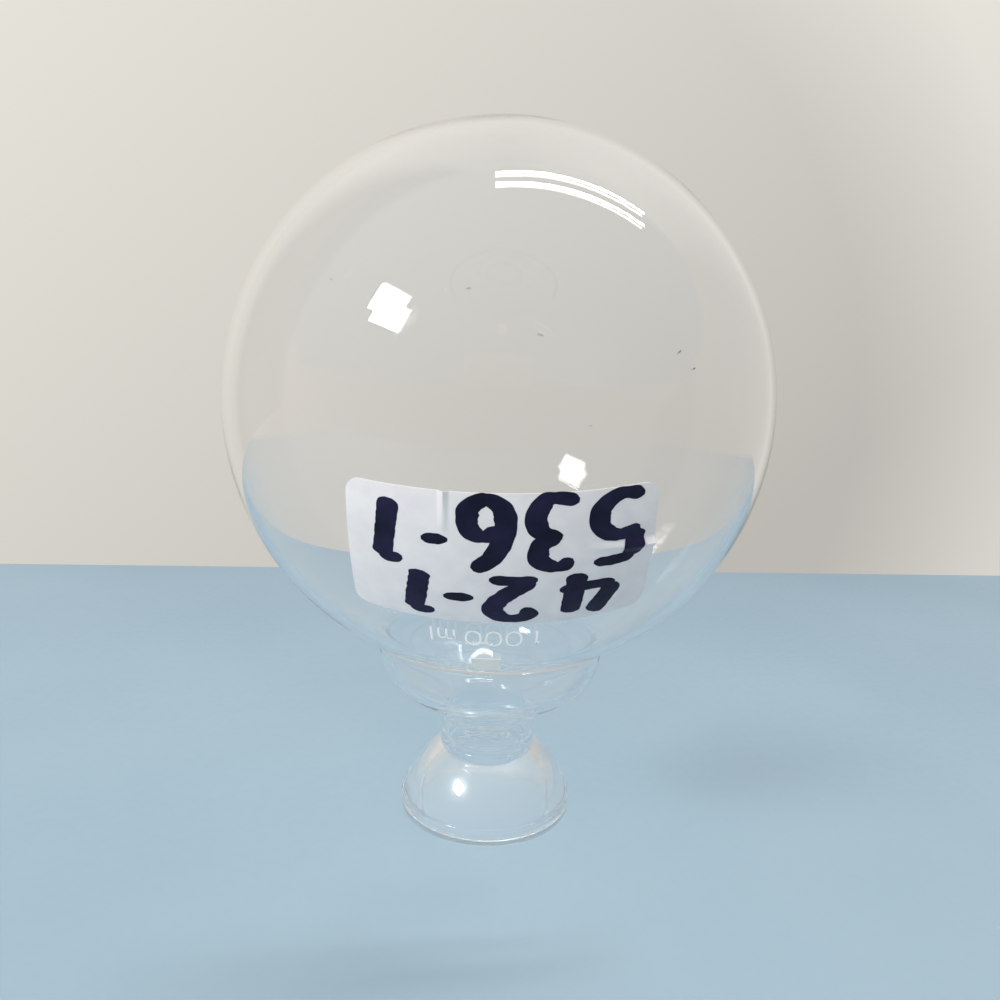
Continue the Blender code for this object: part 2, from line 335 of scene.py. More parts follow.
def cut_at(wall, height):
    """The same wall with a point at exactly this height."""
    cut = [wall[0]]
    for a, b in zip(wall, wall[1:]):
        if (a[1] - height) * (b[1] - height) < 0.0:
            share = (height - a[1]) / (b[1] - a[1])
            cut.append((a[0] + (b[0] - a[0]) * share, height))
        cut.append(b)
    return cut


def swollen(wall, swell):
    """The same wall, thickened at the flame seals."""
    points = []
    for radius, z in wall:
        bump = sum(exp(-(((z - seal) / SEAL_WIDTH) ** 2)) for seal in SEALS)
        points.append((radius + swell * bump if radius > ON_AXIS else 0.0, z))
    return points


def glass_walls():
    """The whole outside, the whole inside, and the heights between which the seat is ground."""
    outside = swollen(outer_wall(), SEAL_SWELL)
    inside, ground = inner_wall()
    inside = swollen(inside, -SEAL_SWELL_INSIDE)
    for height in (BULB_SEAM_Z, SHOULDER_SEAM_Z, SOCKET_SEAM_Z):
        outside = cut_at(outside, height)
        inside = cut_at(inside, height)
    return outside, inside, ground


def between(wall, low, high):
    return [point for point in wall if low <= point[1] <= high]


# Materials.


def new_material(name):
    material = bpy.data.materials.new(name)
    material.use_nodes = True
    material.node_tree.nodes.clear()
    return material, material.node_tree


def add_node(tree, kind, **inputs):
    node = tree.nodes.new(kind)
    for name, value in inputs.items():
        node.inputs[name.replace("_", " ")].default_value = value
    return node


NOISE_LOW, NOISE_HIGH = 0.35, 0.65  # between which most of a noise's values lie
RIPPLE_DETAIL, MOTTLE_DETAIL, GRAIN_DETAIL = 1.0, 4.0, 6.0


def noise_of(tree, scale, detail=MOTTLE_DETAIL, stretch=(1.0, 1.0, 1.0)):
    """A noise value over the object's own space."""
    place = tree.nodes.new("ShaderNodeTexCoord")
    mapping = tree.nodes.new("ShaderNodeMapping")
    mapping.inputs["Scale"].default_value = stretch
    texture = add_node(tree, "ShaderNodeTexNoise", Scale=scale, Detail=detail)
    tree.links.new(place.outputs["Object"], mapping.inputs["Vector"])
    tree.links.new(mapping.outputs["Vector"], texture.inputs["Vector"])
    return texture.outputs["Fac"]


def ranged(tree, value, low, high, from_low=NOISE_LOW, from_high=NOISE_HIGH):
    """value, moved from one range to another and kept inside it."""
    node = tree.nodes.new("ShaderNodeMapRange")
    node.inputs["From Min"].default_value = from_low
    node.inputs["From Max"].default_value = from_high
    node.inputs["To Min"].default_value = low
    node.inputs["To Max"].default_value = high
    tree.links.new(value, node.inputs["Value"])
    return node.outputs["Result"]


def blended(tree, value, first, second, low=NOISE_LOW, high=NOISE_HIGH):
    """A colour between two, by a value."""
    ramp = tree.nodes.new("ShaderNodeValToRGB")
    ramp.color_ramp.elements[0].position = low
    ramp.color_ramp.elements[0].color = (*first, 1.0)
    ramp.color_ramp.elements[1].position = high
    ramp.color_ramp.elements[1].color = (*second, 1.0)
    tree.links.new(value, ramp.inputs["Fac"])
    return ramp.outputs["Color"]


def bumped(tree, value, distance):
    bump = add_node(tree, "ShaderNodeBump", Strength=1.0, Distance=distance)
    tree.links.new(value, bump.inputs["Height"])
    return bump.outputs["Normal"]


GLASS_IOR = 1.473
SMEAR_SCALE = 45.0
SMEAR_STRETCH = (1.0, 1.0, 0.35)
SMEAR_RANGE = (0.55, 0.8)  # the noise values between which a smear sets in
PASSING_TINT = (0.994, 0.996, 0.996)


def glass_material(name, tint, rough, bump_scale, bump_distance, clarity=1.0):
    """Clear or ground glass with faint smears. Light from lamps and from matt surfaces goes
    straight through it, so that it reaches what is inside and behind."""
    material, tree = new_material(name)
    shader = tree.nodes.new("ShaderNodeBsdfPrincipled")
    shader.inputs["Base Color"].default_value = (*tint, 1.0)
    shader.inputs["Transmission Weight"].default_value = clarity
    shader.inputs["IOR"].default_value = GLASS_IOR
    smears = noise_of(tree, SMEAR_SCALE, stretch=SMEAR_STRETCH)
    tree.links.new(ranged(tree, smears, *rough, *SMEAR_RANGE), shader.inputs["Roughness"])
    ripple = noise_of(tree, bump_scale, RIPPLE_DETAIL)
    tree.links.new(bumped(tree, ripple, bump_distance), shader.inputs["Normal"])
    clear = tree.nodes.new("ShaderNodeBsdfTransparent")
    clear.inputs["Color"].default_value = (*PASSING_TINT, 1.0)
    path = tree.nodes.new("ShaderNodeLightPath")
    surface = shader.outputs["BSDF"]
    for ray in ("Is Shadow Ray", "Is Diffuse Ray"):
        mix = tree.nodes.new("ShaderNodeMixShader")
        tree.links.new(path.outputs[ray], mix.inputs["Fac"])
        tree.links.new(surface, mix.inputs[1])
        tree.links.new(clear.outputs["BSDF"], mix.inputs[2])
        surface = mix.outputs["Shader"]
    output = tree.nodes.new("ShaderNodeOutputMaterial")
    tree.links.new(surface, output.inputs["Surface"])
    return material


def seal_material():
    """The cut faces inside a flame seal, where there is nothing to see."""
    material, tree = new_material("flame_seal")
    clear = tree.nodes.new("ShaderNodeBsdfTransparent")
    output = tree.nodes.new("ShaderNodeOutputMaterial")
    tree.links.new(clear.outputs["BSDF"], output.inputs["Surface"])
    return material


def opaque_material(name, first, second, colour_scale, rough, bump_scale, bump_distance):
    """A matt surface whose colour, roughness and relief all vary a little."""
    material, tree = new_material(name)
    shader = tree.nodes.new("ShaderNodeBsdfPrincipled")
    output = tree.nodes.new("ShaderNodeOutputMaterial")
    mottle = noise_of(tree, colour_scale)
    grain = noise_of(tree, bump_scale, GRAIN_DETAIL)
    tree.links.new(blended(tree, mottle, first, second), shader.inputs["Base Color"])
    tree.links.new(ranged(tree, grain, *rough), shader.inputs["Roughness"])
    tree.links.new(bumped(tree, grain, bump_distance), shader.inputs["Normal"])
    tree.links.new(shader.outputs["BSDF"], output.inputs["Surface"])
    return material, shader


def let_light_under(shader, weight, depth):
    """Light passes a little way under the surface, as in paper and in thin enamel."""
    shader.inputs["Subsurface Weight"].default_value = weight
    shader.inputs["Subsurface Radius"].default_value = (1.0, 1.0, 1.0)
    shader.inputs["Subsurface Scale"].default_value = depth


CLEAR_GLASS = glass_material(
    "clear_glass",
    tint=(0.997, 0.994, 0.997),
    rough=(0.0, 0.05),
    bump_scale=60.0,
    bump_distance=0.008 * MM,
)
GROUND_GLASS = glass_material(
    "ground_glass",
    tint=(0.99, 0.99, 0.99),
    rough=(0.22, 0.3),
    bump_scale=900.0,
    bump_distance=0.01 * MM,
    clarity=0.93,
)
FLAME_SEAL = seal_material()


# Turned glass.

CLEAR_FACE, SEAL_FACE, GROUND_FACE = range(3)


def eased(value, low, high):
    """0 below low and 1 above high, with a smooth rise between."""
    share = min(1.0, max(0.0, (value - low) / (high - low)))
    return share * share * (3 - 2 * share)


def waviness(place):
    """How far a point of the bulb's wall is moved out, outside and inside."""
    full = eased(place.z, WAVE_START_Z, WAVE_FULL_Z)
    spot = place / WAVE_LENGTH
    outside = noise.noise(spot) * WAVE_OUTSIDE * full
    inside = noise.noise(spot + Vector(INSIDE_SHIFT)) * WAVE_INSIDE * full
    return outside, inside + THINNING * eased(place.z, WAVE_START_Z, THIN_Z)


def add_bubble(mesh, latitude, longitude, roll, length):
    """A small cavity in the bulb's wall, drawn out by the blowing."""
    out, right, up = bulb_frame(latitude, longitude, roll)
    centre = BULB_MIDDLE + out * (BULB_RADIUS - BUBBLE_DEPTH)
    axes = Matrix((right * length / 2, up * BUBBLE_WIDTH / 2, out * BUBBLE_WIDTH / 2))
    shape = Matrix.Translation(centre) @ axes.transposed().to_4x4()
    made = bmesh.ops.create_icosphere(mesh, subdivisions=2, radius=1.0, matrix=shape)
    faces = {face for vertex in made["verts"] for face in vertex.link_faces}
    bmesh.ops.reverse_faces(mesh, faces=list(faces))


def turned(name, outline, faces_of, closed, inside_from=None, bubbles=()):
    """A closed solid of revolution about Z. faces_of gives each stretch of the outline its
    material; from the point inside_from on, the outline is the wall's inside."""
    mesh = bmesh.new()
    rings = []
    for i, (radius, z) in enumerate(outline):
        ring = []
        for j in range(1 if radius < ON_AXIS else TURN_STEPS):
            turn = 2 * pi * j / TURN_STEPS
            place = Vector((radius * cos(turn), radius * sin(turn), z))
            if inside_from is not None:
                away = (place - BULB_MIDDLE).normalized()
                place += away * waviness(place)[i >= inside_from]
            ring.append(mesh.verts.new(place))
        rings.append(ring)
    last = len(rings) if closed else len(rings) - 1
    for i in range(last):
        upper, lower = rings[i], rings[(i + 1) % len(rings)]
        for j in range(TURN_STEPS):
            k = (j + 1) % TURN_STEPS
            corners = [upper[j % len(upper)], lower[j % len(lower)]]
            corners += [lower[k % len(lower)], upper[k % len(upper)]]
            face = mesh.faces.new(list(dict.fromkeys(corners)))
            face.material_index = faces_of(i)
    bmesh.ops.recalc_face_normals(mesh, faces=mesh.faces)
    for bubble in bubbles:
        add_bubble(mesh, *bubble)
    return finished(name, mesh, (CLEAR_GLASS, FLAME_SEAL, GROUND_GLASS))


def finished(name, mesh, materials):
    """The piece, with its faces out, shaded smooth between its sharp edges."""
    if mesh.calc_volume(signed=True) < 0.0:
        bmesh.ops.reverse_faces(mesh, faces=mesh.faces)
    data = bpy.data.meshes.new(name)
    mesh.to_mesh(data)
    mesh.free()
    for material in materials:
        data.materials.append(material)
    data.shade_smooth()
    data.set_sharp_from_angle(angle=SHARP_ANGLE)
    piece = bpy.data.objects.new(name, data)
    bpy.context.scene.collection.objects.link(piece)
    return piece


def placed(piece, slot, *nodes):
    """The piece rides on the flask's one body, and stands for these nodes."""
    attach(piece, "root")
    if nodes:
        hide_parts(*nodes)


def make_glass():
    outside, inside, ground = glass_walls()
    top = BULB_BOX[1].z

    bulb_out = between(outside, BULB_SEAM_Z, top)
    bulb_in = between(inside, BULB_SEAM_Z, top)
    seam = len(bulb_out) - 1
    bulb = turned(
        "bulb_glass",
        bulb_out + bulb_in,
        lambda i: SEAL_FACE if i == seam else CLEAR_FACE,
        closed=False,
        inside_from=len(bulb_out),
        bubbles=BUBBLES,
    )
    placed(bulb, "clear_glass", "bulb")

    for node, high, low in (
        ("shoulder", BULB_SEAM_Z, SHOULDER_SEAM_Z),
        ("neck", SHOULDER_SEAM_Z, SOCKET_SEAM_Z),
    ):
        out = between(outside, low, high)
        outline = out + between(inside, low, high)
        ends = (len(out) - 1, len(outline) - 1)
        piece = turned(
            f"{node}_glass",
            outline,
            lambda i, ends=ends: SEAL_FACE if i in ends else CLEAR_FACE,
            closed=True,
        )
        placed(piece, "clear_glass", node)

    cup_out = between(outside, 0.0, SOCKET_SEAM_Z)
    cup = cup_out + between(inside, 0.0, SOCKET_SEAM_Z)

    def cup_face(i):
        if i == len(cup) - 1:
            return SEAL_FACE
        if i >= len(cup_out) and ground[0] <= cup[i][1] < ground[1]:
            return GROUND_FACE
        return CLEAR_FACE

    socket = turned("socket_glass", cup, cup_face, closed=True)
    placed(socket, "ground_glass", "socket")


# Thin pieces on the front of the bulb.


def bulb_frame(latitude, longitude, roll):
    """Unit vectors out of the bulb, to the right and up, at a place on its surface. Latitude 0
    is the widest circle, and longitude 0 faces -Y."""
    out = Vector(
        (cos(latitude) * sin(longitude), -cos(latitude) * cos(longitude), sin(latitude))
    )
    right = Vector((cos(longitude), sin(longitude), 0.0))
    up = out.cross(right)
    return out, right * cos(roll) + up * sin(roll), up * cos(roll) - right * sin(roll)


def wrapped(x, y, lift, axes):
    """Where a point of a flat sheet comes to lie when the sheet is wrapped onto the bulb."""
    out, right, up = axes
    reach = hypot(x, y)
    if reach < ON_AXIS:
        return BULB_MIDDLE + out * (BULB_RADIUS + lift)
    turned_by = reach / BULB_RADIUS
    along = (right * x + up * y) / reach
    return BULB_MIDDLE + (out * cos(turned_by) + along * sin(turned_by)) * (BULB_RADIUS + lift)


def rounded_corner(x, y, size, corner):
    """Moves a point of a rectangle so that the rectangle's corners become round."""
    past_x = (abs(x) - (size[0] / 2 - corner)) / corner
    past_y = (abs(y) - (size[1] / 2 - corner)) / corner
    if past_x <= 0.0 or past_y <= 0.0:
        return x, y
    pull = max(past_x, past_y) / hypot(past_x, past_y)
    new_x = size[0] / 2 - corner + corner * past_x * pull
    new_y = size[1] / 2 - corner + corner * past_y * pull
    return new_x * (1 if x > 0 else -1), new_y * (1 if y > 0 else -1)


def add_slab(mesh, columns, rows, place):
    """Adds a thin closed sheet. place(i, j, side) is a corner's place, side 0 being its back."""
    sides = [
        [[mesh.verts.new(place(i, j, side)) for j in range(rows + 1)] for i in range(columns + 1)]
        for side in (0, 1)
    ]
    back, front = sides
    for i in range(columns):
        for j in range(rows):
            mesh.faces.new((front[i][j], front[i + 1][j], front[i + 1][j + 1], front[i][j + 1]))
            mesh.faces.new((back[i][j], back[i][j + 1], back[i + 1][j + 1], back[i + 1][j]))
    rim = [(i, 0) for i in range(columns)]
    rim += [(columns, j) for j in range(rows)]
    rim += [(i, rows) for i in range(columns, 0, -1)]
    rim += [(0, j) for j in range(rows, 0, -1)]
    for (i, j), (k, n) in zip(rim, rim[1:] + rim[:1]):
        mesh.faces.new((back[i][j], back[k][n], front[k][n], front[i][j]))


def sheet_on_bulb(name, size, corner, cells, place, base, material):
    """A rectangular sheet with round corners. base(x, y) gives its back's and front's lift."""
    axes = bulb_frame(*place)
    mesh = bmesh.new()

    def at(i, j, side):
        x = (i / cells[0] - 0.5) * size[0]
        y = (j / cells[1] - 0.5) * size[1]
        x, y = rounded_corner(x, y, size, corner)
        return wrapped(x, y, base(x, y)[side], axes)

    add_slab(mesh, cells[0], cells[1], at)
    return finished(name, mesh, (material,))


def fade(value, width):
    """1 at 0, falling to 0 at width on either side."""
    share = max(0.0, 1.0 - abs(value) / width)
    return share * share * (3 - 2 * share)


def ridge(value, width):
    """A sharp fold: 1 at 0, falling straight to 0 at width on either side."""
    return max(0.0, 1.0 - abs(value) / width)


def label_relief(x, y):
    """How far the paper stands off the glass, with its fold, crease, puckers and swells."""
    right, top = LABEL_SIZE[0] / 2, LABEL_SIZE[1] / 2
    fold = max(0.0, (y - FOLD_FOOT_Y) / (top - FOLD_FOOT_Y))
    lift = FOLD_LIFT * fold * ridge(x - FOLD_X, FOLD_WIDTH)
    lift += FOLD_PUCKER_LIFT * fold * fade(x - FOLD_PUCKER_X, FOLD_PUCKER_WIDTH)
    above = y - (CREASE_PLACE[1] - CREASE_FALL * (x - CREASE_PLACE[0]))
    crease = max(0.0, (x - CREASE_START_X) / (right - CREASE_START_X))
    lift += CREASE_LIFT * crease * ridge(above, CREASE_WIDTH)
    pucker = fade(above + CREASE_PUCKER_DROP, CREASE_PUCKER_WIDTH)
    lift += CREASE_PUCKER_LIFT * crease * pucker
    ripple = fade(x - RIPPLE_PLACE[0], RIPPLE_REACH[0]) * fade(y - RIPPLE_PLACE[1], RIPPLE_REACH[1])
    lift += RIPPLE_LIFT * ripple * (1 + sin(x / RIPPLE_LENGTH + RIPPLE_START))
    swell = noise.noise(Vector((x, y, 0.0)) / SWELL_LENGTH)
    return LABEL_LIFT + lift + SWELL_LIFT * max(0.0, swell)


def label_sides(x, y):
    lift = label_relief(x, y)
    return lift, lift + LABEL_THICKNESS


def patch_sides(x, y):
    return PATCH_LIFT, PATCH_LIFT + PATCH_THICKNESS


def make_label():
    paper, shader = opaque_material(
        "label_paper",
        first=(0.77, 0.735, 0.755),
        second=(0.83, 0.795, 0.805),
        colour_scale=220.0,
        rough=(0.55, 0.75),
        bump_scale=2600.0,
        bump_distance=0.02 * MM,
    )
    let_light_under(shader, 0.4, 0.3 * MM)
    label = sheet_on_bulb(
        "label_sheet", LABEL_SIZE, LABEL_CORNER, LABEL_CELLS, LABEL_PLACE, label_sides, paper
    )
    placed(label, "label_paper", "label")


def make_patch():
    enamel, shader = opaque_material(
        "cream_enamel",
        first=(0.95, 0.89, 0.81),
        second=(0.97, 0.92, 0.85),
        colour_scale=400.0,
        rough=(0.35, 0.55),
        bump_scale=3000.0,
        bump_distance=0.01 * MM,
    )
    let_light_under(shader, 0.5, 0.3 * MM)
    patch = sheet_on_bulb(
        "blank_patch", PATCH_SIZE, PATCH_CORNER, PATCH_CELLS, PATCH_PLACE, patch_sides, enamel
    )
    placed(patch, "cream_enamel", "marking_patch")


# Marker strokes and printed figures. A glyph is a list of strokes, each a row of points in a
# box one unit wide and high.

GLYPHS = {
    "0": [[(0.5, 1.0), (0.12, 0.86), (0.0, 0.5), (0.12, 0.14), (0.5, 0.0), (0.88, 0.14),
           (1.0, 0.5), (0.88, 0.86), (0.5, 1.0)]],
    "1": [[(0.5, 0.0), (0.5, 0.5), (0.5, 1.0)], [(0.5, 1.0), (0.33, 0.9), (0.2, 0.82)]],
    "2": [[(0.08, 0.74), (0.30, 0.97), (0.66, 0.98), (0.90, 0.74), (0.66, 0.40), (0.10, 0.04)],
          [(0.04, 0.03), (0.5, 0.05), (0.98, 0.02)]],
    "3": [[(0.08, 0.92), (0.45, 1.0), (0.82, 0.88), (0.80, 0.66), (0.40, 0.55)],
          [(0.36, 0.55), (0.78, 0.48), (0.94, 0.26), (0.66, 0.02), (0.04, 0.06)]],
    "4": [[(0.36, 1.0), (0.18, 0.66), (0.0, 0.32)], [(0.0, 0.31), (0.5, 0.30), (1.0, 0.33)],
          [(0.78, 0.90), (0.74, 0.45), (0.70, 0.0)]],
    "5": [[(0.96, 0.98), (0.6, 0.99), (0.14, 0.96)], [(0.20, 0.96), (0.17, 0.76), (0.13, 0.56)],
          [(0.06, 0.54), (0.52, 0.60), (0.86, 0.46), (0.88, 0.20), (0.52, 0.02), (0.02, 0.06)]],
    "6": [[(0.78, 1.0), (0.38, 0.82), (0.12, 0.46), (0.16, 0.14), (0.50, 0.0), (0.84, 0.12),
           (0.86, 0.38), (0.56, 0.50), (0.20, 0.40)]],
    "7": [[(0.0, 0.95), (0.45, 0.98), (0.90, 0.96)], [(0.78, 0.98), (0.62, 0.5), (0.46, 0.0)]],
    "-": [[(0.0, 0.5), (0.5, 0.52), (1.0, 0.55)]],
    "m": [[(0.0, 0.0), (0.0, 0.33), (0.0, 0.66)],
          [(0.0, 0.5), (0.2, 0.67), (0.45, 0.58), (0.47, 0.0)],
          [(0.47, 0.5), (0.68, 0.67), (0.94, 0.58), (0.96, 0.0)]],
    "l": [[(0.5, 0.0), (0.5, 0.5), (0.5, 1.0)]],
}


def curve_through(points, step):
    """Evenly dense points on a smooth curve through these."""
    ends = [points[0], *points, points[-1]]
    if points[0] == points[-1]:
        ends[0], ends[-1] = points[-2], points[1]
    curve = []
    for a, b, c, d in zip(ends, ends[1:], ends[2:], ends[3:]):
        count = max(2, ceil(hypot(c[0] - b[0], c[1] - b[1]) / step))
        for i in range(count):
            t = i / count
            curve.append(
                tuple(
                    0.5 * (2 * q + (r - p) * t + (2 * p - 5 * q + 4 * r - s) * t**2
                           + (3 * q - p - 3 * r + s) * t**3)
                    for p, q, r, s in zip(a, b, c, d)
                )
            )
    curve.append(tuple(points[-1]))
    return curve


def add_stroke(mesh, points, pen, step, at, thickness, ragged):
    """Adds one pen stroke as a thin closed ribbon. pen is the width of its level and its
    upright strokes. at(x, y) gives the place on the surface and the direction off it."""
    curve = curve_through(points, step)
    run = [0.0]
    for a, b in zip(curve, curve[1:]):
        run.append(run[-1] + hypot(b[0] - a[0], b[1] - a[1]))
    looped = points[0] == points[-1]
    directions = []
    for i in range(len(curve)):
        before = curve[-2 if looped and i == 0 else max(0, i - 1)]
        after = curve[1 if looped and i == len(curve) - 1 else min(len(curve) - 1, i + 1)]
        reach = hypot(after[0] - before[0], after[1] - before[1])
        directions.append(((after[0] - before[0]) / reach, (after[1] - before[1]) / reach))

    def half_width(i):
        full = (pen[0] + (pen[1] - pen[0]) * abs(directions[i][1])) / 2
        if looped:
            return full
        nearest = min(run[i], run[-1] - run[i])
        level = 1.0 - abs(directions[i][1])
        reach = END_ROUND * full + END_TAPER * level
        short = max(0.0, 1.0 - nearest / reach)
        wobble = noise.noise(Vector((*curve[i], WOBBLE_LAYER)) / WOBBLE_LENGTH)
        return full * sqrt(max(END_LEAST, 1.0 - short * short)) * (1 + ragged * wobble)

    def place(i, j, side):
        along = directions[i]
        off = (1 - 2 * j / STROKE_ACROSS) * half_width(i)
        spot, out = at(curve[i][0] - along[1] * off, curve[i][1] + along[0] * off)
        edge = STROKE_EDGE if j in (0, STROKE_ACROSS) or i in (0, len(curve) - 1) else 1.0
        return spot + out * (thickness * edge * side)

    add_slab(mesh, len(curve) - 1, STROKE_ACROSS, place)


def write(name, letter, corner, size, pen, step, at, thickness, ragged, material, slot):
    """Writes one glyph as a piece. corner is the lower left corner of its box."""
    mesh = bmesh.new()
    for layer, stroke in enumerate(GLYPHS[letter]):
        points = [(corner[0] + x * size[0], corner[1] + y * size[1]) for x, y in stroke]
        add_stroke(mesh, points, pen, step, at(layer), thickness, ragged)
    placed(finished(name, mesh, (material,)), slot)


def on_label(layer):
    """Places marker strokes on the paper, which is read with the flask turned over."""
    axes = bulb_frame(*LABEL_PLACE)

    def at(x, y):
        relief = max(label_relief(dx - x, dy - y) for dx in INK_BRIDGE for dy in INK_BRIDGE)
        lift = relief + LABEL_THICKNESS + INK_LAYER * (layer + 1)
        spot = wrapped(-x, -y, lift, axes)
        return spot, (spot - BULB_MIDDLE).normalized()

    return at


def on_bulb(layer):
    axes = bulb_frame(*PRINT_PLACE)

    def at(x, y):
        spot = wrapped(x, y, PRINT_LIFT * (layer + 1), axes)
        return spot, (spot - BULB_MIDDLE).normalized()

    return at


# Each marker figure: its sign, and its box's left, bottom, width and height in millimetres, as
# read with the flask turned over.
MARKER_FIGURES = (
    ("5", -26.0, -13.6, 9.6, 14.0),
    ("3", -13.6, -13.8, 8.4, 14.0),
    ("6", -1.4, -13.4, 8.6, 14.0),
    ("-", 9.6, -6.4, 4.8, 2.2),
    ("7", 18.0, -12.0, 5.0, 12.4),
    ("4", -21.6, 2.2, 10.8, 11.0),
    ("2", -7.0, 2.6, 9.4, 10.4),
    ("-", 5.0, 6.4, 5.6, 2.2),
    ("7", 12.4, 2.0, 5.2, 10.4),
)
MARKER_PEN = (2.2 * MM, 4.0 * MM)


def make_marker_figures():
    ink, shader = opaque_material(
        "marker_ink",
        first=(0.003, 0.004, 0.018),
        second=(0.014, 0.011, 0.045),
        colour_scale=160.0,
        rough=(0.3, 0.5),
        bump_scale=1200.0,
        bump_distance=0.01 * MM,
    )
    shader.inputs["Specular IOR Level"].default_value = INK_SHINE
    for number, (letter, left, bottom, width, height) in enumerate(MARKER_FIGURES):
        write(
            f"marker_figure_{number + 1}",
            letter,
            (left * MM, bottom * MM),
            (width * MM, height * MM),
            MARKER_PEN,
            INK_STEP,
            on_label,
            INK_THICKNESS,
            INK_RAGGED,
            ink,
            "marker_ink",
        )


# The capacity mark: each sign, and its box's left edge and width in millimetres.
CAPACITY_FIGURES = (
    ("1", -11.2, 2.0),
    ("0", -7.2, 2.9),
    ("0", -3.2, 2.9),
    ("0", 0.8, 2.9),
    ("m", 6.0, 3.2),
    ("l", 9.8, 1.6),
)


def make_capacity_mark():
    enamel, shader = opaque_material(
        "white_enamel",
        first=(0.90, 0.92, 0.93),
        second=(0.95, 0.96, 0.97),
        colour_scale=700.0,
        rough=(0.4, 0.6),
        bump_scale=2500.0,
        bump_distance=0.01 * MM,
    )
    let_light_under(shader, 0.7, 0.5 * MM)
    for number, (letter, left, width) in enumerate(CAPACITY_FIGURES):
        write(
            f"capacity_mark_{number + 1}",
            letter,
            (left * MM, -PRINT_HEIGHT / 2),
            (width * MM, PRINT_HEIGHT),
            (PRINT_PEN, PRINT_PEN),
            PRINT_STEP,
            on_bulb,
            PRINT_THICKNESS,
            PRINT_RAGGED,
            enamel,
            "white_enamel",
        )


# Floor, backdrop, lamps and camera.

FLOOR_BACK_Y = 0.264
FLOOR_FRONT_Y = -0.40
FLOOR_REACH = 0.6  # to either side
WALL_REACH = 3.0
WALL_HEIGHT = 2.2
FLOOR_BACK_TURN = 0.108  # how much further back the backdrop stands, per metre to the right
# The backdrop is a glowing sheet, not paper lit by the lamps. Its shade, paler towards the upper
# left, and its brighter edge are painted light.
BACKDROP_LOW = (0.50, 0.485, 0.45)
BACKDROP_HIGH = (0.80, 0.775, 0.71)
BACKDROP_UP = (-0.5, 0.0, 0.55)  # which way the backdrop's painted glow grows paler, per metre
BACKDROP_SPAN = (-0.07, 0.32)
BACKDROP_MIDDLE = (-0.06, 0.0, 0.1)
BACKDROP_EDGE = ((0.285, 0.0), (0.40, 1.0))  # how its painted edge glow sets in, by distance from there
# How much brighter the painted edge glow is than the middle, by the place from left to right in
# metres.
BACKDROP_SIDES = ((-0.45, -0.26), (-0.25, 0.20), (0.0, 0.10), (0.30, 0.34))
ROOM_LOW = (0.50, 0.50, 0.49)
ROOM_HIGH = (0.85, 0.81, 0.72)
ROOM_UP = (-0.22, 0.5, 0.55)  # which way the room grows paler
ROOM_SPAN = (-0.55, 0.6)

LAMP_COLOUR = (1.0, 0.99, 0.96)
TUBE_WIDTH = 0.031
TUBE_RADIANCE = 32.0
PANEL_RADIANCE = 32.0
PANEL_ROLL = radians(-12)

CAMERA_PLACE = (0.00114, -0.1898, 0.1091)
CAMERA_PITCH = radians(8.21)
CAMERA_LEAN = radians(2.14)
CAMERA_LENS = 27.04
CAMERA_SENSOR = 36.0
CAMERA_NEAR = 0.01
LIGHT_BOUNCES = 24


def stage_plane(name, corners, material):
    data = bpy.data.meshes.new(name)
    data.from_pydata(corners, [], [(0, 1, 2, 3)])
    data.materials.append(material)
    plane = bpy.data.objects.new(name, data)
    bpy.context.scene.collection.objects.link(plane)


def towards(tree, output, direction, span, colours):
    """A colour that changes along a direction, from the first at span[0] to the second."""
    place = tree.nodes.new("ShaderNodeTexCoord")
    along = tree.nodes.new("ShaderNodeVectorMath")
    along.operation = "DOT_PRODUCT"
    along.inputs[1].default_value = direction
    tree.links.new(place.outputs[output], along.inputs[0])
    share = ranged(tree, along.outputs["Value"], 0.0, 1.0, *span)
    return blended(tree, share, *colours, 0.0, 1.0)


def stepped(tree, value, stops):
    """A value that runs in straight lines through these (place, value) stops."""
    places = [place for place, _ in stops]
    shades = [shade for _, shade in stops]
    ramp = tree.nodes.new("ShaderNodeValToRGB")
    while len(ramp.color_ramp.elements) < len(stops):
        ramp.color_ramp.elements.new(1.0)
    for element, (place, shade) in zip(ramp.color_ramp.elements, stops):
        share = (shade - min(shades)) / (max(shades) - min(shades))
        element.position = (place - places[0]) / (places[-1] - places[0])
        element.color = (share, share, share, 1.0)
    tree.links.new(ranged(tree, value, 0.0, 1.0, places[0], places[-1]), ramp.inputs["Fac"])
    return ranged(tree, ramp.outputs["Color"], min(shades), max(shades), 0.0, 1.0)


def make_floor():
    floor, _ = opaque_material(
        "floor_paint",
        first=(0.27, 0.38, 0.48),
        second=(0.29, 0.40, 0.50),
        colour_scale=9.0,
        rough=(0.6, 0.7),
        bump_scale=300.0,
        bump_distance=0.02 * MM,
    )
    corners = [
        (-FLOOR_REACH, FLOOR_FRONT_Y, 0.0),
        (FLOOR_REACH, FLOOR_FRONT_Y, 0.0),
        (FLOOR_REACH, FLOOR_BACK_Y + FLOOR_BACK_TURN * FLOOR_REACH, 0.0),
        (-FLOOR_REACH, FLOOR_BACK_Y - FLOOR_BACK_TURN * FLOOR_REACH, 0.0),
    ]
    stage_plane("floor", corners, floor)


